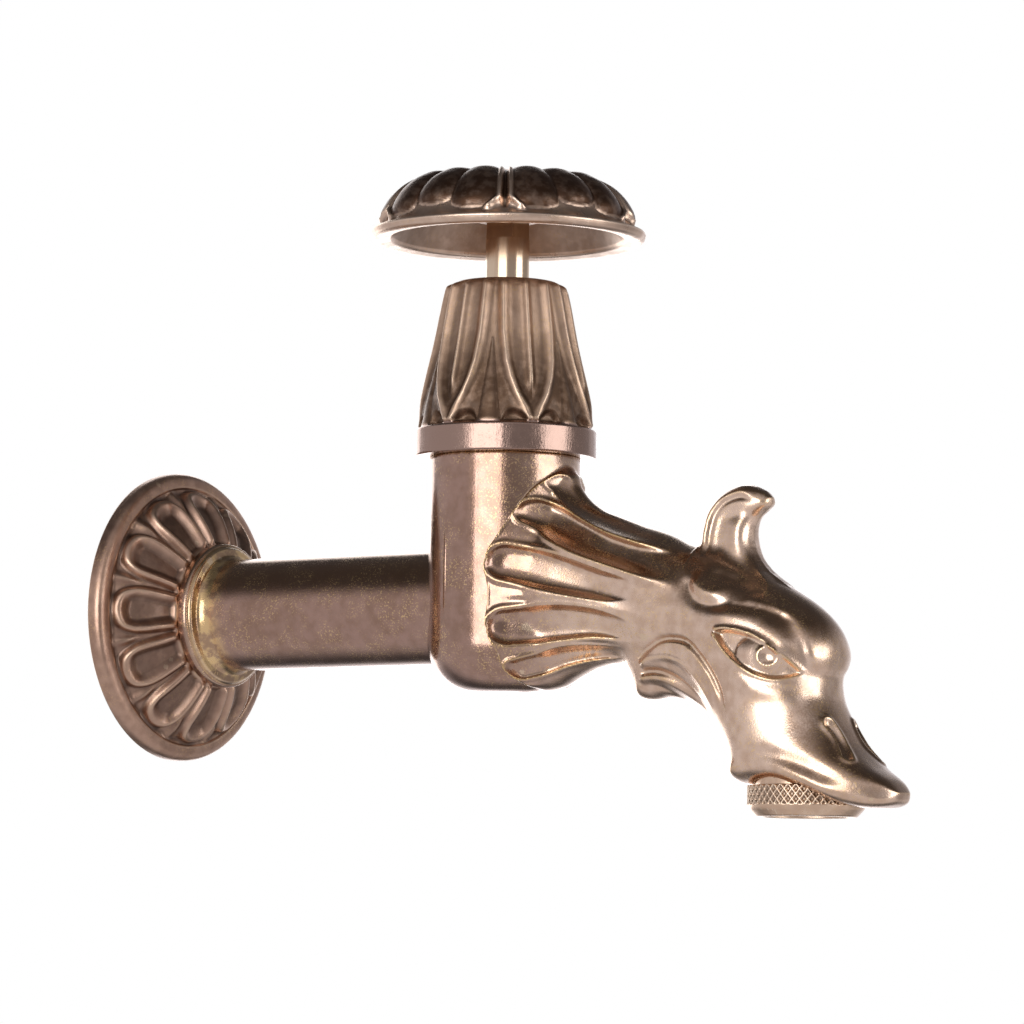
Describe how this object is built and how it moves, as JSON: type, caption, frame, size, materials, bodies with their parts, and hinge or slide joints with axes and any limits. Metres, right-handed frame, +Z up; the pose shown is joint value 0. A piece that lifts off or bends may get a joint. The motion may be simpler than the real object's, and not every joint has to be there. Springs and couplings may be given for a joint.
{
  "type": "hose bib",
  "caption": "Ornamental wall-mounted garden tap: fluted wall rosette, beast-head spout with knurled aerator ring, flanged bonnet and round handwheel on a rising spindle.",
  "frame": {"origin": "centre of the wall rosette's back face, on the inlet pipe's axis", "axes": "+X out of the wall towards the spout, +Z up along the valve spindle, mirror plane Y = 0"},
  "size_m": [0.2048, 0.065, 0.1415],
  "materials": {
    "cast_bronze": "lacquered antique brass, glossy, darker in the recesses",
    "dark_bronze": "antique brass, satin, dark with rubbed edges",
    "bonnet_bronze": "antique brass, satin, brushed highlights",
    "wheel_bronze": "antique brass, glossy, dark with rubbed lobes",
    "stem_brass": "polished",
    "pale_brass": "satin, knurled",
    "plain_brass": "machined",
    "fibre": "pressed fibre",
    "packing": "waxed braided cord",
    "spring_steel": "bright steel",
    "black_rubber": "matt",
    "white_plastic": "moulded"
  },
  "bodies": {
    "tap_body": {"inlet_pipe": "cast_bronze", "cast_body": "cast_bronze", "wall_rosette": "dark_bronze", "bonnet": "bonnet_bronze", "headwork_body": "plain_brass", "headwork_gasket": "fibre", "packing_washer": "plain_brass", "gland_packing": "packing", "gland_bush": "plain_brass", "gland_nut": "plain_brass", "aerator_ring": "pale_brass", "aerator_insert": "white_plastic", "outlet_grid": "spring_steel", "inlet_screen": "spring_steel", "aerator_gasket": "black_rubber"},
    "jumper_valve": {"jumper": "plain_brass", "jumper_clip": "spring_steel", "tap_washer": "black_rubber", "washer_plate": "plain_brass", "washer_nut": "plain_brass"},
    "spindle_and_wheel": {"spindle": "stem_brass", "handwheel": "wheel_bronze", "handwheel_washer": "spring_steel", "handwheel_screw": "wheel_bronze"}
  },
  "joints": [
    {"name": "valve_lift", "type": "slide", "parent": "tap_body", "child": "jumper_valve", "axis": [0, 0, 1], "range_m": [0, 0.0063]},
    {"name": "handwheel_turn", "type": "hinge", "parent": "jumper_valve", "child": "spindle_and_wheel", "pos_m": [0.089, 0, 0], "axis": [0, 0, 1], "range_deg": [0, 900]}
  ],
  "couplings": [
    {"joint": "valve_lift", "follows": "handwheel_turn", "m_per_rad": 0.00039789}
  ]
}
